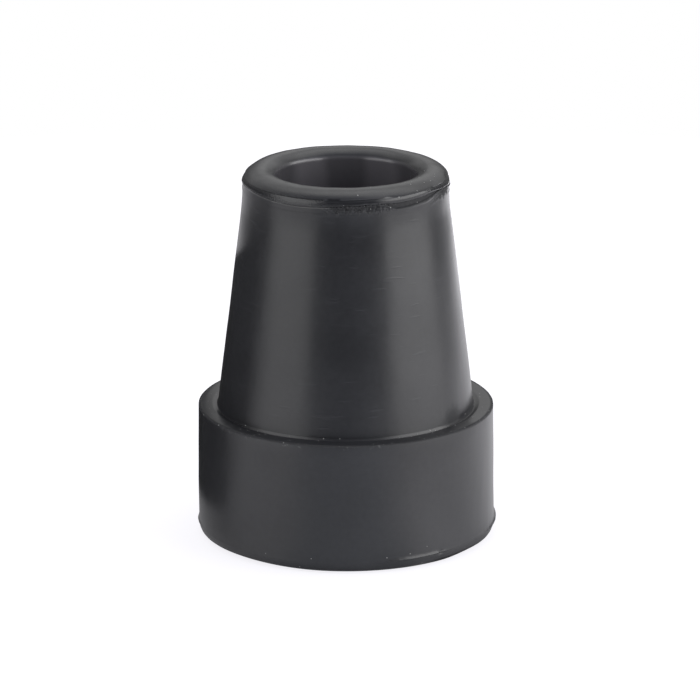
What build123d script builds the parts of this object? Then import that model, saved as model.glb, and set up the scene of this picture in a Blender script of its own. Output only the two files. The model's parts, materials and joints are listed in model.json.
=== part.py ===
from build123d import *
import math
import os

# Rubber cane tip: one moulding of rubber that is pushed onto the foot of a walking cane.
# It stands on its foot, with the origin at the middle of the foot's face and +Z up the cane.
# Half of its section is drawn in the XZ plane and revolved about Z. Lengths are in millimetres.

# The cane's shaft, and the blind socket that grips it
shaft_diameter = 19.05
socket_grip = 0.25
sole_thickness = 12.0
socket_floor_bevel = 1.2

# The rolled rim, from the socket's wall out to the step under the roll
mouth_width = 1.9
mouth_depth = 1.6
roll_width = 2.6
roll_height = 1.8
roll_edge_share = 0.8
rim_overhang = 0.2

# The tapered neck, with a short straight collar under the rim
overall_height = 50.8
collar_height = 1.2
collar_blend_share = 0.9
neck_spread = 3.55

# The round base below the neck
shoulder_height = 18.1
shoulder_width = 2.75
shoulder_bevel = 0.35
foot_edge_height = 1.55
foot_edge_inset = 0.9

# The ridge that the two halves of the mould leave around the base, just above the foot's edge
parting_rise = 0.35
ridge_width = 0.4
ridge_height = 0.15

# The ring grooves of the tread, under the foot
groove_count = 3
groove_width = 2.0
groove_depth = 1.6
groove_wall_angle = 78.0
centre_pad_diameter = 7.0
outer_land_width = 2.7

# Radii, worked outwards from the shaft
socket_radius = (shaft_diameter - socket_grip) / 2
crest_radius = socket_radius + mouth_width
rim_radius = crest_radius + roll_width
neck_top_radius = rim_radius - rim_overhang
neck_foot_radius = neck_top_radius + neck_spread
base_radius = neck_foot_radius + shoulder_width

# Heights above the ground
mouth_base_height = overall_height - mouth_depth
roll_base_height = overall_height - roll_height
collar_base_height = roll_base_height - collar_height
parting_height = foot_edge_height + parting_rise

# The roll is a tight arc round its outer edge, then a broad arc that ends level at the crest
roll_edge_radius = roll_edge_share * roll_height
roll_reach = roll_width - roll_edge_radius
roll_drop = roll_height - roll_edge_radius
roll_crest_radius = (roll_reach**2 + roll_height**2 - roll_edge_radius**2) / (2 * roll_drop)
roll_edge_angle = math.degrees(math.atan2(roll_crest_radius - roll_height, roll_reach))

# The taper turns into the collar through an arc that uses up most of the collar
taper_angle = math.atan2(neck_spread, collar_base_height - shoulder_height)
collar_blend_radius = collar_blend_share * collar_height / math.tan(taper_angle / 2)

# The grooves are spaced evenly between the centre pad and the land at the foot's edge
first_groove_radius = (centre_pad_diameter + groove_width) / 2
sole_radius = base_radius - foot_edge_inset
last_groove_radius = sole_radius - outer_land_width - groove_width / 2
groove_pitch = (last_groove_radius - first_groove_radius) / (groove_count - 1)
groove_places = [(first_groove_radius + groove_pitch * turn, 0) for turn in range(groove_count)]

with BuildPart() as cane_tip:
    with BuildSketch(Plane.XZ) as section:
        with BuildLine():
            # The sole, and the foot's edge, which rounds up into the base's wall
            Line((0, 0), (sole_radius, 0))
            TangentArc((base_radius, foot_edge_height), (sole_radius, 0), tangent=(0, -1))
            # The base's wall, the shoulder, the neck and its collar
            FilletPolyline(
                (base_radius, foot_edge_height),
                (base_radius, shoulder_height),
                (neck_foot_radius, shoulder_height),
                (neck_top_radius, collar_base_height),
                (neck_top_radius, roll_base_height),
                radius=[0, 0, collar_blend_radius],
            )
            # The step under the roll, then round the roll to its crest
            step = Line((neck_top_radius, roll_base_height), (rim_radius, roll_base_height))
            roll_edge = JernArc(step @ 1, (0, 1), roll_edge_radius, roll_edge_angle)
            TangentArc(roll_edge @ 1, (crest_radius, overall_height), tangent=roll_edge % 1)
            # The mouth, a quarter of an ellipse, down to the socket's wall and floor
            EllipticalCenterArc(
                (crest_radius, mouth_base_height),
                mouth_width,
                mouth_depth,
                start_angle=90,
                arc_size=90,
            )
            Polyline(
                (socket_radius, mouth_base_height),
                (socket_radius, sole_thickness),
                (0, sole_thickness),
                (0, 0),
            )
        make_face()
        # The parting ridge, rooted in the wall as deep as it stands out
        with Locations((base_radius, parting_height)):
            Polygon(
                (-ridge_height, -ridge_width / 2),
                (ridge_height, 0),
                (-ridge_height, ridge_width / 2),
                align=None,
            )
        # The tread's grooves, which narrow towards their floors
        with Locations(*groove_places):
            Trapezoid(
                groove_width,
                groove_depth,
                groove_wall_angle,
                align=(Align.CENTER, Align.MIN),
                mode=Mode.SUBTRACT,
            )
    revolve(axis=Axis.Z)

    # Bevels at the shoulder's edge and the root of the neck, and around the socket's floor
    rings = cane_tip.edges().filter_by(GeomType.CIRCLE)
    shoulder_rings = rings.filter_by_position(
        Axis.Z, shoulder_height - shoulder_bevel, shoulder_height + shoulder_bevel
    )
    chamfer(shoulder_rings, shoulder_bevel)
    rings = cane_tip.edges().filter_by(GeomType.CIRCLE)
    floor_rings = rings.filter_by_position(
        Axis.Z, sole_thickness - socket_floor_bevel, sole_thickness + socket_floor_bevel
    )
    chamfer(floor_rings, socket_floor_bevel)

cane_tip.part.label = "cane_tip"

os.makedirs("parts", exist_ok=True)
export_step(cane_tip.part, "parts/cane_tip.step")

print(f"cane_tip: base {2 * base_radius:.2f} mm across, {overall_height:.2f} mm high")
print(f"socket: {2 * socket_radius:.2f} mm across, grooves {groove_pitch:.2f} mm apart")
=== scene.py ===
# %% [markdown]
# This lesson dresses one small object: the black rubber tip that is pushed onto the foot of a
# walking cane. The solid model already gives its true size and place, so everything here is built
# around that frame, in metres, and nothing has to be fitted afterwards. We will draw half of the
# tip's section, spin it into a mesh, roughen it the way a cheap mould does, give it a rubber
# finish, and light it as a small product studio would.

# %% Load the solid model
import json
import math

import bpy
import numpy as np
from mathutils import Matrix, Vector


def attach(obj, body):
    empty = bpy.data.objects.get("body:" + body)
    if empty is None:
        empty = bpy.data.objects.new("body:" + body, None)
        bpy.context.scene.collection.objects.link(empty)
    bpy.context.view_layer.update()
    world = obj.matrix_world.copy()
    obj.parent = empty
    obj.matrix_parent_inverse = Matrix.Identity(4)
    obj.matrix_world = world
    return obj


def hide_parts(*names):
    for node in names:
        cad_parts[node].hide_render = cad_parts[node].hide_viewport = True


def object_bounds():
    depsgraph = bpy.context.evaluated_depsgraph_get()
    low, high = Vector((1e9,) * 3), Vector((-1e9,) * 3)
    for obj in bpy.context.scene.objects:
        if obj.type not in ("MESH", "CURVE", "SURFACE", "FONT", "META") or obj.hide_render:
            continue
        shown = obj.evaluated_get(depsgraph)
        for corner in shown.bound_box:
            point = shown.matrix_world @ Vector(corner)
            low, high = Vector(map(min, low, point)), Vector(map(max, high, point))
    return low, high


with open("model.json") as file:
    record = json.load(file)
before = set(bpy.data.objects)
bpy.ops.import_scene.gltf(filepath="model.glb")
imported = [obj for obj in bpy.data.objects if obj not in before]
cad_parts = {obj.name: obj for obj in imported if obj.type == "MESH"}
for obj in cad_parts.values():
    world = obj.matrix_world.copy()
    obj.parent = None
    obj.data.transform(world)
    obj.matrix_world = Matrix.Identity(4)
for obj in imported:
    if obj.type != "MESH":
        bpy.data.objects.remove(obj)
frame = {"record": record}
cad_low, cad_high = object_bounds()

print("solid model from", tuple(cad_low), "to", tuple(cad_high))

# %% [markdown]
# A product's sizes belong together at the top of the work. The socket's radius is written in the
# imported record, and the height and the base's width are read from the solid's box. The rest are
# the moulding's own dimensions, in millimetres, from the sole up to the rim.

# %% Sizes of the moulding
MM = 0.001

mounts = {mount["name"]: mount for mount in frame["record"]["mounts"]}
socket_radius = mounts["cane_socket"]["dims"]["r_mm"] * MM
overall_height = cad_high.z
lip_reach = 0.15 * MM
base_radius = cad_high.x - lip_reach

shoulder_height = 17.92 * MM
shoulder_width = 2.75 * MM
neck_foot_radius = base_radius - shoulder_width
mouth_width, mouth_depth = 1.9 * MM, 1.6 * MM
roll_width, roll_height = 2.6 * MM, 1.8 * MM
rim_overhang, collar_height = 0.02 * MM, 2.7 * MM
crest_radius = socket_radius + mouth_width
rim_radius = crest_radius + roll_width
roll_base = overall_height - roll_height
neck_top_radius = rim_radius - rim_overhang
collar_base = roll_base - collar_height
sole_thickness = 12.0 * MM
print(f"base {base_radius / MM:.2f} mm and rim {rim_radius / MM:.2f} mm from the axis")

# %% [markdown]
# The tip is round, so its whole shape is in one half section. It could be grown ring by ring from a
# circle, but then every ring needs its own extrude and scale. Drawing the section once and spinning
# it is how a turner or a mould maker thinks of it. The section is a run of corners, each with the
# radius that eases it, so we first write a helper that rounds corners and adds rows where the mesh
# will need them.

# %% Helpers that draw a section


def run(start, end, rows):
    """Points from start to end, without the start, in even steps."""
    return [start.lerp(end, step / rows) for step in range(1, rows + 1)]


def quarter(centre, across, up, first, last, rows):
    """Points along an ellipse about centre, from the first angle to the last, in degrees."""
    angles = np.radians(np.linspace(first, last, rows + 1))
    return [centre + Vector((across * math.cos(a), up * math.sin(a))) for a in angles]


def rounded(corners):
    """A run of corners (radius out, height, easing, rows of the easing, rows of the run to it)."""
    points = [Vector(corners[0][:2])]
    for before, corner, after in zip(corners, corners[1:], corners[2:]):
        here = Vector(corner[:2])
        easing, arc_rows, run_rows = corner[2:]
        if easing == 0:
            points += run(points[-1], here, run_rows)
            continue
        arriving = (here - Vector(before[:2])).normalized()
        leaving = (Vector(after[:2]) - here).normalized()
        half_turn = arriving.angle(leaving) / 2
        reach = easing * math.tan(half_turn)
        points += run(points[-1], here - arriving * reach, run_rows)
        inward = (leaving - arriving).normalized()
        centre = here + inward * (easing / math.cos(half_turn))
        first = points[-1] - centre
        last = here + leaving * reach - centre
        for step in range(1, arc_rows + 1):
            points.append(centre + first.slerp(last, step / arc_rows) * easing)
    return points + run(points[-1], Vector(corners[-1][:2]), corners[-1][4])


print("sections can be drawn from corners")

# %% [markdown]
# The sole comes first. A tip like this stands on rings of tread, so three grooves with sloping walls
# are cut into the flat foot. Each groove is the same four corners, moved outwards by one pitch.

# %% The sole and its ring tread
groove_width, groove_depth, groove_slope = 2.0 * MM, 1.6 * MM, 0.34 * MM
groove_first, groove_last, groove_count = 4.5 * MM, 15.4 * MM, 3
tread_easing, pad_row_share = 0.18 * MM, 1 / 3

mouth_half = groove_width / 2
floor_half = mouth_half - groove_slope
sole = [(0.0, 0.0), (groove_first * pad_row_share, 0.0, 0.0, 1, 1)]
for groove in np.linspace(groove_first, groove_last, groove_count):
    sole += [
        (groove - mouth_half, 0.0, tread_easing, 2, 1),
        (groove - floor_half, groove_depth, tread_easing, 2, 1),
        (groove + floor_half, groove_depth, tread_easing, 2, 1),
        (groove + mouth_half, 0.0, tread_easing, 2, 1),
    ]
print(f"{groove_count} grooves, {len(sole)} corners across the sole")

# %% [markdown]
# Next comes everything that shows from outside. Two places tell how it was made. Near the foot the
# mould's halves met and rubber crept between them, so the wall flares into a thin lip with a crisp
# edge. Under the rolled rim there is a second parting: a shallow seam, a few tenths of a millimetre
# high, between the neck's top edge and the underside of the roll.

# %% The outside, from the foot's edge to the seam under the rim
foot_easing = 1.5 * MM
lip_height = 1.8 * MM
lip_under, lip_flare, lip_easing = 0.18 * MM, 0.32 * MM, 0.9 * MM
shoulder_easing, collar_easing = 0.22 * MM, 25.0 * MM
gutter_width, gutter_depth, gutter_easing = 0.85 * MM, 0.32 * MM, 0.6 * MM
root_reach, root_rise, root_easing = 0.14 * MM, 0.42 * MM, 0.8 * MM
seam_height, seam_depth, seam_easing = 0.5 * MM, 0.30 * MM, 0.05 * MM
seam_base = roll_base - seam_height
seam_radius = neck_top_radius - seam_depth
flash_reach, flash_height = 0.10 * MM, 0.3 * MM
torn_height = 1.1 * MM

outside = [
    (base_radius, 0.0, foot_easing, 7, 3),
    (base_radius, lip_height - lip_under, seam_easing, 2, 1),
    (base_radius + lip_reach, lip_height, seam_easing, 3, 2),
    (base_radius, lip_height + lip_flare, lip_easing, 4, 2),
    (base_radius, shoulder_height, shoulder_easing, 5, 9),
    (neck_foot_radius + gutter_width, shoulder_height, gutter_easing, 3, 2),
    (neck_foot_radius + root_reach, shoulder_height - gutter_depth, seam_easing, 2, 1),
    (neck_foot_radius, shoulder_height - gutter_depth + root_rise, root_easing, 4, 1),
    (neck_top_radius, collar_base, collar_easing, 5, 18),
    (neck_top_radius, seam_base - torn_height, 0.0, 1, 1),
    (neck_top_radius, seam_base - flash_height, seam_easing, 1, 7),
    (neck_top_radius + flash_reach, seam_base, seam_easing / 2, 2, 3),
    (seam_radius, seam_base + 2 * seam_easing, seam_easing, 2, 2),
    (seam_radius, roll_base - seam_easing, seam_easing, 2, 5),
    (rim_radius, roll_base, seam_easing, 3, 2),
]
print(f"{len(outside)} corners on the outside")

# %% [markdown]
# The rim is not a plain rounding: it is wider than it is high, so each of its sides is a quarter of
# an ellipse, the outer one over the roll and the inner one down into the mouth. Below that the
# socket is a straight, blind hole that ends in an eased floor. All of it makes one open line that
# starts and ends on the middle axis.

# %% The whole section
roll_start, roll_sink = -8.0, 0.2 * MM
socket_easing = 1.2 * MM
roll_rows, mouth_rows = 17, 13

roll_centre = Vector((crest_radius, roll_base + roll_sink))
mouth_centre = Vector((crest_radius, overall_height - mouth_depth))
roll = quarter(roll_centre, roll_width, roll_height - roll_sink, roll_start, 90.0, roll_rows)
mouth_side = quarter(mouth_centre, mouth_width, mouth_depth, 90.0, 180.0, mouth_rows)
socket = rounded([
    (socket_radius, mouth_centre.y),
    (socket_radius, sole_thickness, socket_easing, 4, 12),
    (0.0, sole_thickness, 0.0, 1, 3),
])
below_rim = rounded(sole + outside + [(*roll[0], 0.0, 1, 1)])
section = below_rim + roll[1:] + mouth_side[1:] + socket[1:]
print(f"section of {len(section)} points")

# %% [markdown]
# Blender has no empty pen, so we add a plane, merge its corners into one vertex, and walk that vertex
# along the section by extruding it. The Spin tool could sweep the line round the Z axis, but it is
# slow with hundreds of steps, so the Screw modifier does it, with no rise per turn. The sweep may
# leave a stack of points at both ends on the axis and may turn the faces inwards, so the doubles are
# merged first and the normals are recalculated afterwards.

# %% Draw the section and sweep it round
SEGMENTS = 448
merge_distance = 0.001 * MM


def triangles(piece):
    """How many triangles the faces of a piece come to."""
    return sum(len(face.vertices) - 2 for face in piece.data.polygons)


bpy.ops.object.select_all(action="DESELECT")
bpy.ops.mesh.primitive_plane_add(size=MM, location=(0, 0, 0))
tip = bpy.context.object
tip.name = "rubber_tip"
tip.data.name = "rubber_tip"
bpy.ops.object.mode_set(mode="EDIT")
bpy.ops.mesh.merge(type="CENTER")
for here, there in zip(section, section[1:]):
    step = (there.x - here.x, 0, there.y - here.y)
    bpy.ops.mesh.extrude_vertices_move(TRANSFORM_OT_translate={"value": step})
bpy.ops.object.mode_set(mode="OBJECT")
sweep = tip.modifiers.new("sweep", "SCREW")
sweep.axis = "Z"
sweep.angle = math.tau
sweep.steps = sweep.render_steps = SEGMENTS
sweep.use_merge_vertices = True
sweep.merge_threshold = merge_distance
bpy.ops.object.modifier_apply(modifier="sweep")
bpy.ops.object.mode_set(mode="EDIT")
bpy.ops.mesh.select_all(action="SELECT")
bpy.ops.mesh.remove_doubles(threshold=merge_distance)
bpy.ops.mesh.normals_make_consistent(inside=False)
bpy.ops.object.mode_set(mode="OBJECT")
print(f"{len(tip.data.vertices)} points, {triangles(tip)} triangles")

# %% [markdown]
# The flash that crept out under the rim is torn into crumbs of a few tenths of a millimetre, which is
# finer than this mesh. Only that strip needs more points, so its faces are selected by their place
# and subdivided once, and the rest of the mesh stays light. Angles are in degrees here, from the
# front of the tip towards its right side.

# %% Give the strip under the rim a finer mesh
strip_below, strip_above = 0.1 * MM, 0.05 * MM
strip_low, strip_high = seam_base - torn_height - strip_below, roll_base + strip_above
strip_from, strip_to = -22.0, 88.0

centres = np.empty(len(tip.data.polygons) * 3)
tip.data.polygons.foreach_get("center", centres)
x, y, z = centres.reshape(-1, 3).T
around = np.degrees(np.arctan2(x, -y))
in_strip = (np.hypot(x, y) > crest_radius) & (z > strip_low) & (z < strip_high)
in_strip = in_strip & (around > strip_from) & (around < strip_to)
bpy.ops.object.mode_set(mode="EDIT")
bpy.ops.mesh.select_mode(type="FACE")
bpy.ops.mesh.select_all(action="DESELECT")
bpy.ops.object.mode_set(mode="OBJECT")
tip.data.polygons.foreach_set("select", in_strip)
bpy.ops.object.mode_set(mode="EDIT")
bpy.ops.mesh.subdivide(number_cuts=1)
bpy.ops.object.mode_set(mode="OBJECT")
print(f"{int(in_strip.sum())} faces made finer, {triangles(tip)} triangles in all")

# %% [markdown]
# A spun mesh is perfect, and cheap rubber is not. The next steps nudge points by where they are, as
# one would with a sculpting brush. For that we read all points at once as radius, height and angle.
# Three soft masks say where a nudge applies: a step between two limits, a spot with a middle and a
# reach, and a span of four limits.

# %% Read and write the points by radius, height and angle


def read_points(piece):
    """Radius, height and angle of every point of a piece. The angle is in degrees, zero in front."""
    places = np.empty(len(piece.data.vertices) * 3)
    piece.data.vertices.foreach_get("co", places)
    x, y, z = places.reshape(-1, 3).T
    return np.hypot(x, y), z.copy(), np.degrees(np.arctan2(x, -y))


def write_points(piece, radius, height, angle):
    """Puts every point of a piece at its radius, height and angle."""
    around = np.radians(angle)
    places = np.column_stack((radius * np.sin(around), -radius * np.cos(around), height))
    piece.data.vertices.foreach_set("co", places.ravel())
    piece.data.update()


def ease(limits, value):
    """Zero before the first limit, one past the second, and a soft step between them."""
    first, last = limits
    share = np.clip((value - first) / (last - first), 0, 1)
    return share * share * (3 - 2 * share)


def bump(spot, value):
    """One at the middle of a spot, falling softly to zero at its reach on either side."""
    middle, reach = spot
    return 1 - ease((0, reach), np.abs(value - middle))


def between(span, value):
    """Rises from a span's first limit to its second, and falls from its third to its fourth."""
    return ease(span[:2], value) * (1 - ease(span[2:], value))


print(f"{len(tip.data.vertices)} points can be moved by radius, height and angle")

# %% [markdown]
# Rubber that has touched a polished core is glossier than the rest, so before anything moves we mark
# the roll, the mouth and the socket. The neck's top edge at the left gets a mark too, for a painted
# highlight: a pale line where that thin edge would catch the light. A mark is a number kept with
# every point, which Blender calls an attribute, and a material can read it later.

# %% Mark the polished side and the painted highlight on the edge
seam_glint_reach, seam_glint_span = 0.13 * MM, (-80, -70, -14, -5)


def mark(piece, name, values):
    """Keeps a number with every point of a piece, under a name that materials can read."""
    numbers = piece.data.attributes.new(name, "FLOAT", "POINT")
    numbers.data.foreach_set("value", values.astype(np.float32))
    print(f"{name}: {int((values > 0).sum())} points marked")


radius, height, angle = read_points(tip)
in_socket = (radius < crest_radius) & (height > sole_thickness - merge_distance)
mark(tip, "polish", in_socket | (height > roll_base - merge_distance))
# painted highlight: a pale line along the neck's top edge at the left, where it would catch the light
seam_glint = (radius > crest_radius) * bump((seam_base, seam_glint_reach), height)
mark(tip, "seam_glint", seam_glint * between(seam_glint_span, angle))

# %% [markdown]
# On the real tip the seam under the rim is a hairline at the left. In front the neck's torn edge comes
# up to the roll and leaves a thin dark line, and at the right front the seam gapes, so that the roll
# hangs over a narrow band. The seam isn't level either: it is highest at the right front, and drops
# at the left front and at the right end. So we first work out, for every angle, how far the seam is
# closed, open or torn, and how much it is lifted.

# %% Say where the seam is closed, open and torn
closed_span, open_span = (-88, -76, -18, -10), (20, 30, 49, 66)
torn_span, torn_end = (-15, -9, 24, 33), (66, 13)
roll_lift, roll_spot = 0.15 * MM, (40, 40)
right_lift, right_spot = 0.30 * MM, (54, 20)
left_drop, left_spot = 0.42 * MM, (-30, 45)
end_drop, end_spot = 0.45 * MM, (90, 20)

closed_share = between(closed_span, angle)
open_share = between(open_span, angle)
torn_share = between(torn_span, angle) + bump(torn_end, angle)
lift = roll_lift * bump(roll_spot, angle) + right_lift * bump(right_spot, angle)
lift = lift - left_drop * bump(left_spot, angle) - end_drop * bump(end_spot, angle)
print(f"seam lifted by {lift.min() / MM:.2f} to {lift.max() / MM:.2f} mm")

# %% [markdown]
# Then the points move. The neck's top edge rises to the roll everywhere but where the seam gapes, the
# seam's floor comes forward with it, and on the left the roll runs straight down to the seam. The
# rows below and above are stretched and squeezed along, so that none of them folds over another.

# %% Move the seam
hairline, open_gap, torn_floor_share = 0.03 * MM, 1.05 * MM, 0.5
stretch_reach, squeeze_reach, flash_share = 1.0 * MM, 1.3 * MM, 1.2

outer = radius > crest_radius
rise = lift + seam_height - hairline - (open_gap - hairline) * open_share
stretch = np.interp(height, [collar_base - stretch_reach, seam_base, roll_base], [0, 1, 0])
squeeze = np.interp(height, [seam_base, roll_base, roll_base + squeeze_reach], [0, 1, 0])
in_seam = outer & (height > seam_base + seam_easing) & (radius < neck_top_radius - seam_depth / 2)
in_flash = outer & (np.abs(height - seam_base) < flash_share * flash_height)
flash_limit = neck_top_radius + flash_reach * np.maximum(open_share, torn_share)
radius = np.where(in_flash, np.minimum(radius, flash_limit), radius)
forward = seam_depth * (1 - open_share) * (1 - torn_floor_share * torn_share)
radius = radius + np.where(in_seam, forward, 0)
straight = closed_share * ease((collar_base, seam_base), height) * outer
radius = np.where(height < roll_base + roll_sink, radius + straight * (rim_radius - radius), radius)
height = height + np.where(outer, rise * stretch + lift * squeeze, 0)
write_points(tip, radius, height, angle)
print(f"{int(in_seam.sum())} points in the seam's floor")

# %% [markdown]
# The rim was pulled off its core while it was still warm, and it has kept a trace of that: it sags a
# little towards the back, and a trace more at the left than at the right. Its sides are flatter than
# its front, the left one most. All of that is a few tenths of a millimetre at most.

# %% Let the rim sag
rim_sag, back_sag, left_sag = 0.125 * MM, 0.095 * MM, 0.03 * MM
side_flat, side_limits = 0.26 * MM, (55, 85)
left_flat, left_side = 0.14 * MM, (-105, 40)
flat_height, flat_reach = 0.95 * MM, 0.85 * MM

radius, height, angle = read_points(tip)
around = np.radians(angle)
sag = rim_sag - back_sag * np.cos(around) - left_sag * np.sin(around)
height = height - sag * ease((roll_base, overall_height), height)
flat = side_flat * ease(side_limits, np.abs(angle)) + left_flat * bump(left_side, angle)
flat = flat * (radius > crest_radius)
radius = radius - flat * bump((roll_base + flat_height, flat_reach), height)
write_points(tip, radius, height, angle)
print(f"rim from {height.max() / MM:.2f} mm down")

# %% [markdown]
# The gutter at the root of the neck is uneven too. It is deepest in front, and at both sides it is
# nearly full, so that the shoulder runs flat up to the neck.

# %% Fill the gutter at both sides
fill_share, left_fill, right_fill = 0.8, (-90, 55), (112, 42)

radius, height, angle = read_points(tip)
in_gutter = (radius > neck_foot_radius - gutter_width) & (radius < base_radius - gutter_width)
in_gutter = in_gutter & (height < shoulder_height) & (height > shoulder_height - 2 * gutter_depth)
filled = fill_share * (bump(left_fill, angle) + bump(right_fill, angle)) * in_gutter
height = height + filled * (shoulder_height - height)
write_points(tip, radius, height, angle)
print(f"{int((filled > 0).sum())} points raised in the gutter")

# %% [markdown]
# The lip at the foot isn't level either: the lower half of the mould sat a little askew, so the lip
# is lowest in front and highest at the back right. It stands out most at the right, there is a small
# nib at the left, and a nick has been torn out of it at the right front. Past the nick, and all the
# way from the left to the middle of the front, it was trimmed nearly flush with the wall.

# %% Say how the lip is tilted, pulled out, nicked and trimmed
lip_drop, lip_tilt = 0.36 * MM, 0.24 * MM
right_sink, sink_spot = 0.25 * MM, (72, 34)
pull_right, pull_right_spot = 0.16 * MM, (92, 28)
pull_left, pull_left_spot = 0.05 * MM, (-90, 7)
nick_depth, nick_spot = 0.2 * MM, (39.0, 1.5)
left_flush, left_flush_span = 0.9, (-84, -76, 8, 26)
right_flush, right_flush_span = 0.8, (38, 43, 62, 76)
lip_from, lip_to, lip_band, lip_inset = 0.2 * MM, 5 * MM, 0.5 * MM, 0.3 * MM

radius, height, angle = read_points(tip)
around = np.radians(angle)
on_foot = radius > base_radius - foot_easing
near_lip = np.interp(height, [lip_from, lip_height, lip_to], [0, 1, 0]) * on_foot
on_lip = bump((lip_height, lip_band), height) * (radius > base_radius - lip_inset)
pull = pull_right * bump(pull_right_spot, angle) + pull_left * bump(pull_left_spot, angle)
nick = nick_depth * bump(nick_spot, angle)
flush = left_flush * between(left_flush_span, angle) + right_flush * between(right_flush_span, angle)
proud = np.maximum(radius - base_radius, 0)
lip_rise = lip_tilt * np.sin(around) - lip_drop * np.cos(around) - right_sink * bump(sink_spot, angle)
print(f"lip rises by {lip_rise.min() / MM:.2f} to {lip_rise.max() / MM:.2f} mm")

# %% [markdown]
# The base has its own small faults. The sole's edge curls up by a tenth of a millimetre in two
# places, the wall draws in towards the shoulder, whose edge is a hair lower in front than at the
# back, and the foot sits a tenth of a millimetre to the right. These join the lip's moves, and all
# the points are moved at once.

# %% Move the lip and let the foot curl and lean
foot_curl, left_curl, right_curl = 0.12 * MM, (-45, 35), (57, 16)
curl_from, curl_to, curl_top = 2.4 * MM, 1.0 * MM, 3 * lip_height
edge_tilt, edge_inset = 0.14 * MM, 0.5 * MM
wall_taper, taper_base = 0.09 * MM, 11 * MM
foot_shift, lean_limits = 0.1 * MM, (1.5 * MM, 9 * MM)

curl = foot_curl * (bump(left_curl, angle) + bump(right_curl, angle))
curl = curl * ease((base_radius - curl_from, base_radius - curl_to), radius)
curl = curl * (1 - ease((lip_height, curl_top), height))
upper_wall = ease((taper_base, shoulder_height), height)
on_base = radius > neck_foot_radius + edge_inset
to_edge = ease((neck_foot_radius + edge_inset, base_radius), radius)
radius = radius + on_lip * (pull - nick) - wall_taper * upper_wall * on_base - flush * proud
height = height + near_lip * lip_rise + curl - edge_tilt * upper_wall * to_edge * np.cos(around)
lean = foot_shift * (1 - ease(lean_limits, height))
aside, ahead = radius * np.sin(around) + lean, radius * np.cos(around)
write_points(tip, np.hypot(aside, ahead), height, np.degrees(np.arctan2(aside, ahead)))
print(f"lip reaches {radius.max() / MM:.2f} mm from the axis")

# %% [markdown]
# Torn rubber is best made with the Displace modifier: a procedural cloud texture pushes the points in
# and out, and a vertex group says where and how strongly, as weight painting would. Each modifier is
# applied, so the next one starts from its result.

# %% Displace by a cloud, where a weight allows it
least_weight = 0.001


def crumble(piece, name, weights, grain, strength, contrast):
    """Pushes the points of a piece along their normals by a cloud of that grain, weighted."""
    moved = np.flatnonzero(weights > least_weight)
    group = piece.vertex_groups.new(name=name)
    for index in moved:
        group.add([int(index)], float(weights[index]), "REPLACE")
    cloud = bpy.data.textures.new(name, "CLOUDS")
    cloud.noise_scale = grain
    cloud.noise_depth = 3
    cloud.contrast = contrast
    push = piece.modifiers.new(name, "DISPLACE")
    push.texture = cloud
    push.texture_coords = "LOCAL"
    push.direction = "NORMAL"
    push.vertex_group = name
    push.strength = strength
    push.mid_level = 0.5
    bpy.context.view_layer.objects.active = piece
    bpy.ops.object.modifier_apply(modifier=name)
    print(f"{name}: {len(moved)} points moved")


print("points can be pushed by clouds")

# %% [markdown]
# The first pass crumbles the flash in the seam. It is torn in front and once more at the right, and
# the line where the tear ends below wanders up and down, so three sine waves of different lengths
# are added for it. The crumbs and the open band under the roll are marked, because torn rubber is
# matt and holds dust.

# %% Crumble the flash under the rim
tear_span, tear_end, tear_end_share = (-16, -4, 16, 36), (68, 16), 0.9
tear_depth, tear_fade, roll_fade = 0.75 * MM, 0.3 * MM, 0.2 * MM
tear_waves = [(0.22 * MM, 1.1, 0), (0.16 * MM, 2.7, 1), (0.10 * MM, 6.1, 2)]
band_inset = 0.03 * MM

radius, height, angle = read_points(tip)
outer = radius > crest_radius
torn = between(tear_span, angle) + tear_end_share * bump(tear_end, angle)
ragged = sum(tall * np.sin(angle * often + shift) for tall, often, shift in tear_waves)
above_roll = height - roll_base
above_tear = above_roll + tear_depth + ragged
below_roll = np.clip(above_tear / tear_fade + 1, 0, 1) * np.clip(1 - above_roll / roll_fade, 0, 1)
torn_weight = np.clip(torn * below_roll * outer, 0, 1)
crumble(tip, "torn_flash", torn_weight, grain=0.26 * MM, strength=0.24 * MM, contrast=2.2)
in_band = outer & (height > roll_base - open_gap) & (height < roll_base + roll_lift)
in_band = in_band & (radius < neck_top_radius - band_inset)
mark(tip, "torn", np.maximum(torn_weight, in_band))

# %% [markdown]
# Three gentler passes follow. One frays the lip, less where it was trimmed. One gives the whole skin
# the faint waviness that makes a moulded highlight look soft, and spares the sole, which stands flat.
# The last one makes the roll a little uneven.

# %% Fray the lip and soften the skin and the roll
fray_band, fray_inset, least_fray = 0.75 * MM, 0.4 * MM, 0.15
trimmed_middle, trimmed_half, fray_limits = -38, 38, (8, 26)
skin_limits, roll_margin = (0.2 * MM, 3 * MM), 0.4 * MM

frayed = bump((lip_height, fray_band), height) * (radius > base_radius - fray_inset)
past_trim = ease(fray_limits, np.abs(angle - trimmed_middle) - trimmed_half)
frayed = frayed * (least_fray + (1 - least_fray) * past_trim)
frayed = frayed * (1 - right_flush * between(right_flush_span, angle))
on_skin = ease(skin_limits, height)
on_roll = ease((roll_base + roll_margin, overall_height - roll_margin), height)
crumble(tip, "frayed_lip", frayed, grain=0.5 * MM, strength=0.07 * MM, contrast=1.2)
crumble(tip, "soft_skin", on_skin, grain=9 * MM, strength=0.16 * MM, contrast=1.0)
crumble(tip, "uneven_roll", on_roll, grain=3.2 * MM, strength=0.08 * MM, contrast=1.0)

# %% [markdown]
# Smooth shading hides the facets, and edges sharper than a set angle stay crisp, so the seam and the
# lip still read as edges. Before going on we make sure that the mesh is closed: in a closed mesh
# every edge belongs to exactly two faces.

# %% Shade the mesh and check that it is closed
sharp_angle = math.radians(55)

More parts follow.
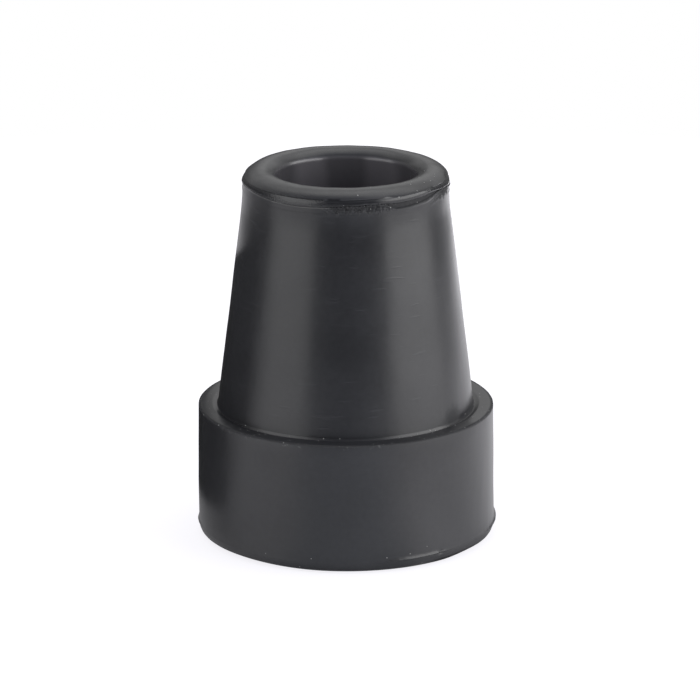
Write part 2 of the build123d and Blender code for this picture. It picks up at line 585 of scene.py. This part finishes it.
bpy.ops.object.select_all(action="DESELECT")
tip.select_set(True)
bpy.context.view_layer.objects.active = tip
bpy.ops.object.shade_smooth_by_angle(angle=sharp_angle)
tip.vertex_groups.clear()
bpy.ops.object.mode_set(mode="EDIT")
bpy.ops.mesh.select_all(action="DESELECT")
bpy.ops.mesh.select_mode(type="EDGE")
bpy.ops.mesh.select_non_manifold()
bpy.ops.object.mode_set(mode="OBJECT")
open_edges = sum(edge.select for edge in tip.data.edges)
print(f"{open_edges} open edges")

# %% [markdown]
# Materials are graphs of nodes, and long graphs are hard to read when every sum is three lines of
# code. So one small class stands for a wire in the graph: adding or multiplying wires adds Math
# nodes. Everything else comes from one method of the graph, which takes the node's type, its settings
# and what its sockets get, and from a few short forms of it.

# %% A small language for nodes


class Wire:
    """An output socket of a graph. Arithmetic on wires adds Math nodes."""

    def __init__(self, graph, socket):
        self.graph = graph
        self.socket = socket

    def __add__(self, other):
        return self.graph.math("ADD", self, other)

    def __radd__(self, other):
        return self.graph.math("ADD", other, self)

    def __sub__(self, other):
        return self.graph.math("SUBTRACT", self, other)

    def __rsub__(self, other):
        return self.graph.math("SUBTRACT", other, self)

    def __mul__(self, other):
        return self.graph.math("MULTIPLY", self, other)

    def __rmul__(self, other):
        return self.graph.math("MULTIPLY", other, self)

    def __abs__(self):
        return self.graph.math("ABSOLUTE", self)


class Graph:
    """The nodes of a material or a world, started empty."""

    def __init__(self, owner):
        owner.use_nodes = True
        self.tree = owner.node_tree
        self.tree.nodes.clear()

    def node(self, kind, settings=None, sockets=None, output=0):
        """Adds a node, sets it up, feeds its sockets with values or wires, and gives an output."""
        node = self.tree.nodes.new("ShaderNode" + kind)
        for name, value in (settings or {}).items():
            setattr(node, name, value)
        for name, value in (sockets or {}).items():
            if isinstance(value, Wire):
                self.tree.links.new(value.socket, node.inputs[name])
            else:
                node.inputs[name].default_value = value
        return Wire(self, node.outputs[output]) if node.outputs else None

    def math(self, operation, first, second=0.0):
        """A sum of one or two numbers."""
        return self.node("Math", {"operation": operation}, {0: first, 1: second})

    def length(self, first, second):
        """How far a point is from nought, by its two sides."""
        return self.math("SQRT", first * first + second * second)

    def step(self, limits, value, end=1.0, shape="SMOOTHSTEP"):
        """A step from nought to end as the value goes from the first limit to the second."""
        sockets = {"Value": value, "From Min": limits[0], "From Max": limits[1], "To Max": end}
        return self.node("MapRange", {"interpolation_type": shape}, sockets)

    def cloud(self, where, scale, detail):
        """A soft noise from nought to one."""
        return self.node("TexNoise", {}, {"Vector": where, "Scale": scale, "Detail": detail}, "Fac")

    def mix(self, share, first, second):
        """A colour between two colours."""
        return self.node("Mix", {"data_type": "RGBA"}, {"Factor": share, 6: first, 7: second}, 2)

    def lit(self, colour, brightness):
        """A colour times a brightness."""
        return self.node("VectorMath", {"operation": "SCALE"}, {0: colour, "Scale": brightness})

    def axes(self, where):
        """The three numbers of a vector."""
        return [self.node("SeparateXYZ", {}, {0: where}, axis) for axis in "XYZ"]

    def marked(self, name):
        """The number that is kept with every point of the mesh under a name."""
        return self.node("Attribute", {"attribute_name": name}, {}, "Fac")


print("nodes can be written as sums")

# %% [markdown]
# Black rubber is a very dark grey with a broad, weak gloss. What makes it rubber and not plastic is
# in the small things: a cloudy bloom that changes the gloss, a fine grain from the mould, faint
# streaks around it, a few scuffs, and specks of dust that black rubber always collects. The
# patterns read the piece's own coordinates. For streaks that run round the tip we turn those into
# an angle and a height, with the join of the angle at the back.

# %% The rubber: coordinates and clouds
rubber = bpy.data.materials.new("moulded_rubber")
graph = Graph(rubber)

place = graph.node("TexCoord", {}, {}, "Object")
across, deep, up = graph.axes(place)
turn = graph.math("ARCTAN2", across, 0 - deep)
wrap = graph.node("CombineXYZ", {}, {"X": turn * base_radius, "Y": up})
from_axis = graph.length(across, deep)
bloom = graph.cloud(place, scale=90, detail=4)
mottle = graph.cloud(place, scale=1400, detail=3)
torn, polish, seam_glint = (graph.marked(name) for name in ("torn", "polish", "seam_glint"))
print("rubber: coordinates and clouds")

# %% [markdown]
# Dust specks come from a Voronoi texture: its distance gives a round dot in each cell, and its random
# colour lets only a few cells keep theirs and makes some paler than others. They gather on the front
# and right of the roll, in the torn seam, on the shoulder's edge and low on the base, so a mask made
# of heights and sides thins them elsewhere. The weights of its sum say how dusty each place is.

# %% The rubber: dust
dot_core_share, least_paleness, stray_dust = 0.6, 0.3, 0.002
low_limits, shoulder_limits = (5 * MM, 1 * MM), (0.5 * MM, 0.1 * MM)
roll_limits = (roll_base - 1.0 * MM, roll_base)
right_limits, front_limits = (-6 * MM, 11 * MM), (6 * MM, 0)


def specks(scale, size, keep):
    """Round dots in a share of the cells of a Voronoi texture, keep from nought to one."""
    cells = {"Vector": place, "Scale": scale}
    far = graph.node("TexVoronoi", {}, cells, "Distance")
    lots = graph.node("TexVoronoi", {}, cells, "Color")
    chance = graph.node("SeparateColor", {}, {0: lots}, "Red")
    paleness = graph.node("SeparateColor", {}, {0: lots}, "Green")
    dot = graph.step((size, dot_core_share * size), far) * graph.math("LESS_THAN", chance, keep)
    return dot * (least_paleness + paleness * (1 - least_paleness))


low_dust = graph.step(low_limits, up)
shoulder_dust = graph.step(shoulder_limits, abs(up - shoulder_height))
roll_dust = graph.step(roll_limits, up) * graph.step(right_limits, across)
roll_dust = roll_dust * graph.step(front_limits, deep)
dusty = low_dust * 0.4 + shoulder_dust * 2.0 + roll_dust * 1.1 + torn * 2.0 + stray_dust
fine_dust = specks(scale=1300, size=0.12, keep=dusty * 0.6)
coarse_dust = specks(scale=560, size=0.05, keep=dusty * 0.35)
dust = fine_dust + coarse_dust
print("rubber: dust")

# %% [markdown]
# The shoulder's edge is where a tip gets knocked. It has lost its shine, and just below it the skin
# has come off in tiny flakes. A fine cloud makes the flakes, and a coarse one gathers them in places.

# %% The rubber: the matt and chipped edge of the shoulder
matt_limits = (base_radius - 0.6 * MM, base_radius - 0.2 * MM)
chip_limits = (base_radius - 0.5 * MM, base_radius - 0.2 * MM)
chip_drop, chip_reach = 0.35 * MM, (0.45 * MM, 0.10 * MM)

matt_edge = shoulder_dust * graph.step(matt_limits, from_axis)
chip_band = graph.step(chip_reach, abs(up - (shoulder_height - chip_drop)))
chip_band = chip_band * graph.step(chip_limits, from_axis)
flakes = graph.step((0.57, 0.70), graph.cloud(place, scale=2100, detail=3))
gathered = graph.step((0.50, 0.62), graph.cloud(place, scale=190, detail=2))
chipped = chip_band * (flakes * gathered)
print("rubber: the shoulder's edge")

# %% [markdown]
# Handling leaves short scuffs that run round the neck, and one dull smudge low on the right. Scuffs
# are the peaks of a noise that is stretched round the tip, cut off by the bloom so that they come in
# patches, and few of them are on the base. The smudge is a distance from one spot, with its edge
# broken up by the mottle.

# %% The rubber: streaks, scuffs and the smudge
stretch_round, base_scuffs, neck_limits = (0.12, 1.0, 1.0), 0.2, (17 * MM, 19 * MM)
smudge_turn, smudge_height, smudge_reach = 0.97, 18.4 * MM, 2.7 * MM
smudge_core_share, smudge_ragged = 0.2, 1.2 * MM
above_shoulder = (shoulder_height - 0.2 * MM, shoulder_height + 0.1 * MM)

stretched = graph.node("VectorMath", {"operation": "MULTIPLY"}, {0: wrap, 1: stretch_round})
streak = graph.cloud(stretched, scale=2600, detail=2)
scuffed = graph.step((0.46, 0.58), bloom) * (1 - polish)
scuffed = scuffed * (base_scuffs + graph.step(neck_limits, up, 1 - base_scuffs))
scuff = graph.step((0.62, 0.70), graph.cloud(stretched, scale=1500, detail=1)) * scuffed
beside, above = (turn - smudge_turn) * neck_foot_radius, up - smudge_height
from_smudge = graph.length(beside, above) + (mottle - 0.5) * smudge_ragged
smudge = graph.step((smudge_reach, smudge_core_share * smudge_reach), from_smudge)
smudge = smudge * graph.step(above_shoulder, up)
print("rubber: streaks, scuffs and the smudge")

# %% [markdown]
# The socket is dusted with a little talc, which is rubbed off in the middle of the wall and towards
# the sides. It lightens the black inside and takes nothing from its gloss.

# %% The rubber: talc in the socket
wall_limits = (socket_radius + 0.3 * MM, socket_radius + 0.05 * MM)
socket_limits = (sole_thickness - 2 * MM, sole_thickness)
talc_wander, rubbed_limits, patch_limits = 3 * MM, (6.0 * MM, 7.6 * MM), (2.0 * MM, 3.6 * MM)
plain_talc, patch_talc, rubbed_talc = 0.58, 0.42, 0.1

inside = graph.step(wall_limits, from_axis) * graph.step(socket_limits, up)
wander = abs(across) + (bloom - 0.5) * talc_wander
rubbed_side = graph.step(rubbed_limits, wander)
patches = graph.step(patch_limits, wander) * (1 - rubbed_side)
talc_share = inside * (plain_talc + patches * patch_talc - rubbed_side * rubbed_talc)
print("rubber: talc")

# %% [markdown]
# Now the pieces meet. The colour stays within a narrow range of near black, a little blue, that the
# bloom, the mottle and the scuffs move through. Talc, dust and the chips are paler, and a painted
# highlight makes the neck's top edge at the left paler too.

# %% The rubber: colour
black, grey = (0.0132, 0.0134, 0.0154, 1), (0.0212, 0.0215, 0.0245, 1)
talc, pale = (0.107, 0.102, 0.111, 1), (0.42, 0.42, 0.41, 1)
glint_share, chip_share = 0.5, 0.10

tone = graph.step((0.30, 0.72), bloom * 0.7 + mottle * 0.3 + scuff * 0.25)
colour = graph.mix(talc_share, graph.mix(tone, black, grey), talc)
# painted highlight: the neck's top edge at the left is mixed towards pale
painted_glint = seam_glint * graph.cloud(place, scale=900, detail=2) * glint_share
colour = graph.mix(dust + painted_glint + chipped * chip_share, colour, pale)
print("rubber: colour")

# %% [markdown]
# The gloss follows the bloom: it is better where the core has polished the rubber, and lost in dust,
# in the smudge, in the tear and on the shoulder's edge. The bump adds grain, streaks, scuffs, specks
# and crumbs, and the weights in its sum are hundredths of a millimetre. The roll's left side gets a
# fine extra grain, which dulls it.

# %% The rubber: gloss, relief and shader
plain_rough, polish_shine, bloom_rough, mottle_rough = 0.27, 0.09, 0.06, 0.03
dust_rough, smudge_rough, torn_rough, edge_rough = 0.3, 0.4, 0.4, 0.5
relief_height, rubber_ior, dull_limits = 0.010 * MM, 1.5, (1 * MM, -5 * MM)

rough = plain_rough - polish * polish_shine + bloom * bloom_rough + mottle * mottle_rough
rough = rough + dust * dust_rough + smudge * smudge_rough + torn * torn_rough
rough = rough + matt_edge * edge_rough
crumbs = torn * graph.cloud(place, scale=3200, detail=2)
dull = polish * graph.step(dull_limits, across) * graph.step((crest_radius, rim_radius), from_axis)
relief = mottle * 0.2 + streak * 0.25 + scuff * 0.9 + dust * 1.2 + crumbs * 7 - chipped
relief = relief + dull * graph.cloud(place, scale=5200, detail=1) * 3.5
grain = graph.node("Bump", {}, {"Height": relief, "Distance": relief_height, "Strength": 1.0})
finish = {"Base Color": colour, "Roughness": rough, "Normal": grain, "IOR": rubber_ior}
graph.node("OutputMaterial", {}, {"Surface": graph.node("BsdfPrincipled", {}, finish)})
tip.data.materials.clear()
tip.data.materials.append(rubber)
print(f"rubber: {len(graph.tree.nodes)} nodes")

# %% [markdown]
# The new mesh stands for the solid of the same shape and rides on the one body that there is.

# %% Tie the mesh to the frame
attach(tip, "root")
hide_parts("cane_tip")
print("rubber_tip stands for cane_tip")

# %% [markdown]
# The tip was shot on white. The floor is a disc that answers light like white card close to the
# object, so it keeps the shadow, and fades to pure white further out, where it meets the white
# background unseen. The walls of the base and the neck mirror this table, and in the rubber's eyes it
# is a glow with painted light in it: it brightens to the sides and the back, and in two painted
# patches in front.

# %% Floor: the disc and the painted light in its glow
floor_radius, floor_sides = 220 * MM, 128
table_light, table_right, table_left, table_front, table_back = 0.83, 0.55, 0.6, 0.7, 1.6
right_way, left_way = (0, 60 * MM), (-25 * MM, -160 * MM)
back_way, back_right_way, back_right_loss = (100 * MM, 150 * MM), (0, 20 * MM), 0.5
near_limits, front_left_share = (80 * MM, 30 * MM), 0.3

bpy.ops.object.select_all(action="DESELECT")
bpy.ops.mesh.primitive_circle_add(
    vertices=floor_sides, radius=floor_radius, fill_type="NGON", location=(0, 0, 0)
)
floor = bpy.context.object
floor.name = "floor"
card = bpy.data.materials.new("white_card")
graph = Graph(card)
across, deep = graph.axes(graph.node("TexCoord", {}, {}, "Object"))[:2]
turn = graph.math("ARCTAN2", across, 0 - deep)
from_middle = graph.length(across, deep)
rightwards = graph.step(right_way, across, table_right, "LINEAR")
leftwards = graph.step(left_way, across, table_left, "LINEAR")
backwards = graph.step(back_way, deep, table_back)
backwards = backwards * (1 - graph.step(back_right_way, across, back_right_loss))
near = graph.step(near_limits, from_middle)
front_right = graph.step((0.35, 0.80), turn) * graph.step((1.30, 0.80), turn) * near
front_left = graph.step((-0.20, -0.63), turn) * graph.step((-1.06, -0.63), turn) * near
forwards = (front_right + front_left * front_left_share) * table_front
# painted light: the glow that the gloss sees is made brighter to the sides, the back and in two front
# patches
table = table_light + rightwards + leftwards + backwards + forwards
print(f"floor of {2 * floor_radius / MM:.0f} mm across")

# %% [markdown]
# Close to the foot the table's glow carries painted shade for the tip's own shadow, most of all at
# the right and where the two touch, and beside the black card that is set up below it is painted
# darker too. Each painted shade is a ring or a patch that takes away a share of the light.

# %% Floor: its painted shade
foot_shades = [((27 * MM, 20 * MM), 0.25), ((22.5 * MM, 20 * MM), 0.1), ((20.6 * MM, 19.4 * MM), 0.4)]
right_shade_limits, right_shade = (24.5 * MM, 20.5 * MM), 0.3
card_across, card_deep, card_shade = (-18 * MM, -25 * MM), (-17 * MM, -6 * MM), 0.6

# painted shade: the tip's shadow and the dark beside the card, taken out of the glow
by_foot = 1
for limits, shade in foot_shades:
    by_foot = by_foot - graph.step(limits, from_middle, shade)
right_side = graph.step((0.55, 0.75), turn) * graph.step((1.7, 1.4), turn)
by_foot = by_foot - right_side * graph.step(right_shade_limits, from_middle, right_shade)
beside_card = graph.step(card_across, across) * graph.step(card_deep, deep)
table = table * (1 - beside_card * card_shade) * by_foot
print(f"floor: {len(foot_shades) + 2} shades")

# %% [markdown]
# The camera is shown plain white, and only the rubber's gloss is shown the table, which is a little
# cooler in front. The card's own shading keeps a share of the light near the tip, for the shadow. The
# floor is see-through from below, so that the tread can be looked at.

# %% Floor: shader
shadow_reach, shadow_share, seen_white = 110 * MM, 0.3, 1.15
front_tint, side_tint = (0.94, 0.98, 1.09, 1), (0.995, 0.985, 1.025, 1)
card_white = (0.86, 0.86, 0.86, 1)

camera_ray = graph.node("LightPath", {}, {}, "Is Camera Ray")
glossy_ray = graph.node("LightPath", {}, {}, "Is Glossy Ray")
white_share = 1 - shadow_share + graph.step((0, shadow_reach), from_middle, shadow_share)
glow = table + camera_ray * (seen_white - table)
sideways = graph.step((0.25, 0.70), abs(turn))
tint = graph.mix(graph.math("MAXIMUM", sideways, camera_ray), front_tint, side_tint)
white = graph.node("Emission", {}, {"Color": graph.lit(tint, glow), "Strength": 1.0})
matt = graph.node("BsdfDiffuse", {}, {"Color": card_white})
top = graph.node("MixShader", {}, {0: white_share * (camera_ray + glossy_ray), 1: matt, 2: white})
below = graph.node("NewGeometry", {}, {}, "Backfacing") * camera_ray
clear = graph.node("BsdfTransparent")
sheet = graph.node("MixShader", {}, {0: below, 1: top, 2: clear})
graph.node("OutputMaterial", {}, {"Surface": sheet})
floor.data.materials.append(card)
print(f"floor: {len(graph.tree.nodes)} nodes")

# %% [markdown]
# Gloss on black rubber is a picture of the room, so the room decides the look. The camera sees plain
# white, but the rubber sees a studio: dim and cool in front, where the camera stands, and pale
# behind. There it glows a little above the table's edge, and once more high up.

# %% Room: front and back
front_low, front_high, front_rise = 0.07, 0.34, (0.15, 0.7)
back_low, back_glow, glow_limits = 0.22, 0.55, (0.08, 0.30)
back_fall, fall_limits = 0.06, (0.35, 0.58)
back_high, high_limits = 0.80, (0.60, 0.82)
turn_front, turn_back, overhead_front, overhead_back = -0.55, 0.15, 0.05, 0.2

room = bpy.data.worlds.new("studio")
bpy.context.scene.world = room
graph = Graph(room)
aside, away, above = graph.axes(graph.node("TexCoord", {}, {}, "Generated"))
overhead = graph.step((0.3, 0.8), above)
front = front_low + graph.step(front_rise, above, front_high)
back = back_low + graph.step(glow_limits, above, back_glow) - graph.step(fall_limits, above, back_fall)
back = back + graph.step(high_limits, above, back_high)
behind_limits = (turn_front - overhead * overhead_front, turn_back + overhead * overhead_back)
behind = graph.step(behind_limits, away)
walls = front + behind * (back - front)
print("room: dim in front, pale behind")

# %% [markdown]
# The room is uneven from side to side. Its upper left is shaded, both sides are darker low down, and
# the upper right glows a little more. The roll shows these as the dark ends and the bright right of
# its highlight.

# %% Room: left and right
left_shade, low_left, low_right, right_glow = 0.25, 0.46, 0.22, 0.18
cool, neutral = (0.95, 0.985, 1.10, 1), (1, 1, 1, 1)

upper_left = graph.step((-0.15, -0.5), aside, left_shade) * graph.step((0.3, 0.6), above)
low_sides = graph.step((0.03, -0.12), aside, low_left) + graph.step((0.05, 0.20), aside, low_right)
low_sides = low_sides * graph.step((0.42, 0.30), above)
upper_right = graph.step((-0.08, 0.06), aside, right_glow) * graph.step((0.30, 0.45), above)
walls = walls * (1 - upper_left) * (1 - low_sides) * (1 + upper_right)
camera_ray = graph.node("LightPath", {}, {}, "Is Camera Ray")
seen = walls + camera_ray * (1 - walls)
tint = graph.mix(graph.math("MAXIMUM", behind, camera_ray), cool, neutral)
light = graph.node("Background", {}, {"Color": graph.lit(tint, seen), "Strength": 1.0})
graph.node("OutputWorld", {}, {"Surface": light})
print(f"room: {len(graph.tree.nodes)} nodes")

# %% [markdown]
# Two soft boxes make the bright bands on the neck, one at either side. Under each of them hangs a low
# strip that carries its band down past the table's edge, so that the base shows it too. A box's
# brightness is its power over its area, so the helper takes the brightness and works out the power.
# The boxes are hidden from the camera, which may stand anywhere.

# %% Soft boxes
box_distance = 0.5
box_rise, box_tall, strip_rise, strip_tall = 16, 0.33, -9, 0.12
tip_middle = Vector((0, 0, overall_height / 2))


def direction(side, above):
    """A unit direction: degrees from the front towards the right, and degrees above the floor."""
    around, rise = math.radians(side), math.radians(above)
    level = math.cos(rise)
    return Vector((math.sin(around) * level, -math.cos(around) * level, math.sin(rise)))


def soft_box(name, side, above, width, tall, brightness):
    """A rectangle of light that faces the middle of the tip."""
    outwards = direction(side, above)
    bpy.ops.object.light_add(type="AREA", location=tip_middle + outwards * box_distance)
    box = bpy.context.object
    box.name = name
    box.rotation_euler = (-outwards).to_track_quat("-Z", "Y").to_euler()
    box.data.shape = "RECTANGLE"
    box.data.size, box.data.size_y = width, tall
    box.data.energy = brightness * math.pi * width * tall
    box.visible_camera = False
    print(f"{name}: {box.data.energy:.2f} W")


soft_box("left_box", side=-58, above=box_rise, width=0.44, tall=box_tall, brightness=2.1)
soft_box("left_table", side=-60, above=strip_rise, width=0.48, tall=strip_tall, brightness=1.10)
soft_box("right_box", side=71, above=box_rise, width=0.56, tall=box_tall, brightness=3.65)
soft_box("right_table", side=71, above=strip_rise, width=0.56, tall=strip_tall, brightness=1.48)

# %% [markdown]
# A black card at the back left darkens that edge, as photographers do to draw the outline of a dark
# thing. It is a plane whose four corners are put in place, near ones and far ones at their own
# heights. It only shows in the rubber's gloss: the camera doesn't see it, and it casts no shadow.

# %% Black card
card_near, card_far = Vector((-31.5, -8.5, 0)) * MM, Vector((-19, 28, 0)) * MM
card_foot, near_height, far_height = 1.2 * MM, 42 * MM, 31.5 * MM
soot_black = (0.10, 0.10, 0.10, 1)

bpy.ops.object.select_all(action="DESELECT")
bpy.ops.mesh.primitive_plane_add(size=1, location=(0, 0, 0))
flag = bpy.context.object
flag.name = "black_card"
for point in flag.data.vertices:
    foot, tall = (card_near, near_height) if point.co.x < 0 else (card_far, far_height)
    point.co = foot + Vector((0, 0, tall if point.co.y > 0 else card_foot))
soot = bpy.data.materials.new("black_card")
graph = Graph(soot)
finish = {"Base Color": soot_black, "Roughness": 0.5, "Specular IOR Level": 0.0}
graph.node("OutputMaterial", {}, {"Surface": graph.node("BsdfPrincipled", {}, finish)})
flag.data.materials.append(soot)
flag.visible_camera = False
flag.visible_shadow = False
flag.visible_diffuse = False
print(f"black card, {near_height / MM:.0f} mm high at its near end")

# %% [markdown]
# The camera stands well back with a long lens, so the rim and the foot keep nearly the same scale,
# and looks down a little, so that the mouth shows as a flat ellipse.

# %% Camera
camera_distance, camera_rise = 800 * MM, 16.49
aim_height, aim_side = 25.18 * MM, 0.56 * MM
sensor_width, focal_length = 36.0, 305.0
nearest, furthest = 0.01, 10.0

aim = Vector((aim_side, 0, aim_height))
bpy.ops.object.camera_add(location=aim + direction(0, camera_rise) * camera_distance)
camera = bpy.context.object
camera.rotation_euler = (-direction(0, camera_rise)).to_track_quat("-Z", "Y").to_euler()
camera.data.sensor_width = sensor_width
camera.data.lens = focal_length
camera.data.clip_start, camera.data.clip_end = nearest, furthest
bpy.context.scene.camera = camera
bpy.context.scene.view_settings.view_transform = "Standard"
print(f"camera {camera_distance / MM:.0f} mm away, {camera_rise} degrees up")
